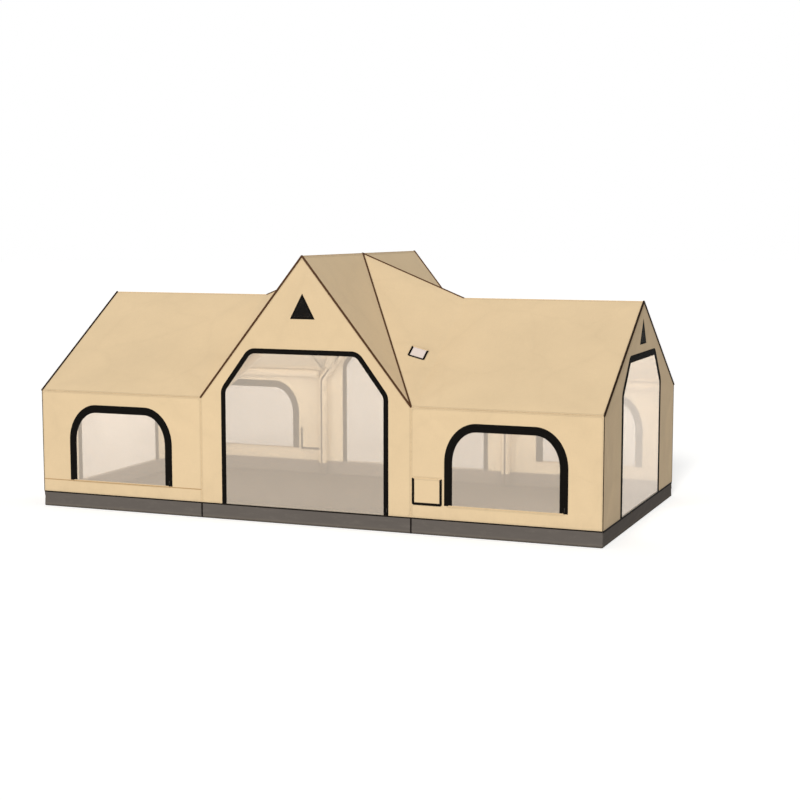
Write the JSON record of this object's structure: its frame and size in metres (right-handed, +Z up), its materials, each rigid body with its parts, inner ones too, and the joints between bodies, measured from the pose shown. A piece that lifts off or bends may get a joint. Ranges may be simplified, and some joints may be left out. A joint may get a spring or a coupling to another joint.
{
  "type": "inflatable house tent",
  "caption": "Long inflatable cabin tent with a gabled centre bay crossing two ridged wings, arched mesh windows, wide mesh doors and a bathtub groundsheet.",
  "frame": {"origin": "on the ground under the middle of the tent", "axes": "+X along the 8 m length towards the wing with the flue port, +Y from the front towards the back, +Z up"},
  "size_m": [8, 4, 3.5],
  "materials": {
    "wall_fabric": "matt proofed polycotton, sand, plain weave with double-stitched seams",
    "roof_fabric": "matt proofed polycotton, slightly darker sand than the walls",
    "groundsheet_pvc": "dark grey-brown coated groundsheet, slight sheen",
    "zip_tape": "black webbing tape over a coil zip",
    "insect_mesh": "fine off-white insect mesh with a black tape border",
    "vent_mesh": "black mesh, taped edge",
    "flue_patch": "pale heat-proof cloth",
    "beam_sleeve": "sand polyester sleeve over an airtight bladder",
    "slider_metal": "dark zinc alloy",
    "valve_plastic": "black nylon"
  },
  "bodies": {
    "tent": {"beam_crown": "beam_sleeve", "beam_end_left": "beam_sleeve", "beam_end_right": "beam_sleeve", "beam_gable_back": "beam_sleeve", "beam_gable_front": "beam_sleeve", "beam_ridge_left": "beam_sleeve", "beam_ridge_right": "beam_sleeve", "door_zip_back": "zip_tape", "door_zip_front": "zip_tape", "door_zip_left": "zip_tape", "door_zip_right": "zip_tape", "groundsheet": "groundsheet_pvc", "roof_gable_back_left": "roof_fabric", "roof_gable_back_right": "roof_fabric", "roof_gable_front_left": "roof_fabric", "roof_gable_front_right": "roof_fabric", "roof_left_back": "roof_fabric", "roof_left_front": "roof_fabric", "roof_right_back": "roof_fabric", "roof_right_front": "roof_fabric", "valve_body": "valve_plastic", "vent_back": "vent_mesh", "vent_front": "vent_mesh", "vent_left": "vent_mesh", "vent_right": "vent_mesh", "wall_back_centre": "wall_fabric", "wall_back_left": "wall_fabric", "wall_back_right": "wall_fabric", "wall_end_left": "wall_fabric", "wall_end_right": "wall_fabric", "wall_front_centre": "wall_fabric", "wall_front_left": "wall_fabric", "wall_front_right": "wall_fabric", "window_zip_back_left": "zip_tape", "window_zip_back_right": "zip_tape", "window_zip_front_left": "zip_tape", "window_zip_front_right": "zip_tape"},
    "door_front": {"door_front": "insect_mesh"},
    "door_back": {"door_back": "insect_mesh"},
    "door_left": {"door_left": "insect_mesh"},
    "door_right": {"door_right": "insect_mesh"},
    "window_front_left": {"window_front_left": "insect_mesh"},
    "window_front_right": {"window_front_right": "insect_mesh"},
    "window_back_left": {"window_back_left": "insect_mesh"},
    "window_back_right": {"window_back_right": "insect_mesh"},
    "port_flap_front": {"port_flap_front": "wall_fabric"},
    "port_flap_back": {"port_flap_back": "wall_fabric"},
    "stove_flap": {"stove_flap": "flue_patch"},
    "valve_cap": {"valve_cap": "valve_plastic"},
    "slider_door_front": {"slider_door_front": "slider_metal"},
    "slider_door_back": {"slider_door_back": "slider_metal"},
    "slider_door_left": {"slider_door_left": "slider_metal"},
    "slider_door_right": {"slider_door_right": "slider_metal"},
    "slider_window_front_left": {"slider_window_front_left": "slider_metal"},
    "slider_window_front_right": {"slider_window_front_right": "slider_metal"},
    "slider_window_back_left": {"slider_window_back_left": "slider_metal"},
    "slider_window_back_right": {"slider_window_back_right": "slider_metal"},
    "slider_port_front": {"slider_port_front": "slider_metal"},
    "slider_port_back": {"slider_port_back": "slider_metal"},
    "slider_stove": {"slider_stove": "slider_metal"}
  },
  "joints": [
    {"name": "door_front_hinge", "type": "hinge", "parent": "tent", "child": "door_front", "pos_m": [-1.1585, -1.9941, 1.2], "axis": [0, 0, -1], "range_deg": [0, 145]},
    {"name": "door_back_hinge", "type": "hinge", "parent": "tent", "child": "door_back", "pos_m": [1.1585, 1.9941, 1.2], "axis": [0, 0, -1], "range_deg": [0, 145]},
    {"name": "door_right_hinge", "type": "hinge", "parent": "tent", "child": "door_right", "pos_m": [3.9941, -1.0735, 1.2], "axis": [0, 0, -1], "range_deg": [0, 170]},
    {"name": "door_left_hinge", "type": "hinge", "parent": "tent", "child": "door_left", "pos_m": [-3.9941, 1.0735, 1.2], "axis": [0, 0, -1], "range_deg": [0, 170]},
    {"name": "window_front_left_hinge", "type": "hinge", "parent": "tent", "child": "window_front_left", "pos_m": [-2.75, -1.9941, 0.3905], "axis": [1, 0, 0], "range_deg": [0, 112]},
    {"name": "window_back_left_hinge", "type": "hinge", "parent": "tent", "child": "window_back_left", "pos_m": [-2.75, 1.9941, 0.3905], "axis": [-1, 0, 0], "range_deg": [0, 112]},
    {"name": "window_front_right_hinge", "type": "hinge", "parent": "tent", "child": "window_front_right", "pos_m": [2.75, -1.9941, 0.3905], "axis": [1, 0, 0], "range_deg": [0, 112]},
    {"name": "window_back_right_hinge", "type": "hinge", "parent": "tent", "child": "window_back_right", "pos_m": [2.75, 1.9941, 0.3905], "axis": [-1, 0, 0], "range_deg": [0, 112]},
    {"name": "port_flap_front_hinge", "type": "hinge", "parent": "tent", "child": "port_flap_front", "pos_m": [1.715, -1.9916, 0.7205], "axis": [-1, 0, 0], "range_deg": [0, 170]},
    {"name": "port_flap_back_hinge", "type": "hinge", "parent": "tent", "child": "port_flap_back", "pos_m": [-1.715, 1.9916, 0.7205], "axis": [1, 0, 0], "range_deg": [0, 170]},
    {"name": "stove_flap_hinge", "type": "hinge", "parent": "tent", "child": "stove_flap", "pos_m": [1.28116, -1.0905, 2.28712], "axis": [-0.9478, -0.1725, 0.2683], "range_deg": [0, 170]},
    {"name": "valve_cap_hinge", "type": "hinge", "parent": "tent", "child": "valve_cap", "pos_m": [1.5877, -1.8961, 0.55], "axis": [0, 0, 1], "range_deg": [0, 95]},
    {"name": "slider_door_front_travel", "type": "slide", "parent": "tent", "child": "slider_door_front", "axis": [0, 0, 1], "range_m": [0, 1.35]},
    {"name": "slider_door_back_travel", "type": "slide", "parent": "tent", "child": "slider_door_back", "axis": [0, 0, 1], "range_m": [0, 1.35]},
    {"name": "slider_door_left_travel", "type": "slide", "parent": "tent", "child": "slider_door_left", "axis": [0, 0, 1], "range_m": [0, 1.4]},
    {"name": "slider_door_right_travel", "type": "slide", "parent": "tent", "child": "slider_door_right", "axis": [0, 0, 1], "range_m": [0, 1.4]},
    {"name": "slider_window_front_left_travel", "type": "slide", "parent": "tent", "child": "slider_window_front_left", "axis": [0, 0, 1], "range_m": [0, 0.46]},
    {"name": "slider_window_front_right_travel", "type": "slide", "parent": "tent", "child": "slider_window_front_right", "axis": [0, 0, 1], "range_m": [0, 0.46]},
    {"name": "slider_window_back_left_travel", "type": "slide", "parent": "tent", "child": "slider_window_back_left", "axis": [0, 0, 1], "range_m": [0, 0.46]},
    {"name": "slider_window_back_right_travel", "type": "slide", "parent": "tent", "child": "slider_window_back_right", "axis": [0, 0, 1], "range_m": [0, 0.46]},
    {"name": "slider_port_front_travel", "type": "slide", "parent": "tent", "child": "slider_port_front", "axis": [0, 0, -1], "range_m": [0, 0.23]},
    {"name": "slider_port_back_travel", "type": "slide", "parent": "tent", "child": "slider_port_back", "axis": [0, 0, -1], "range_m": [0, 0.23]},
    {"name": "slider_stove_travel", "type": "slide", "parent": "tent", "child": "slider_stove", "axis": [0, -0.8412, -0.5408], "range_m": [0, 0.11]}
  ]
}
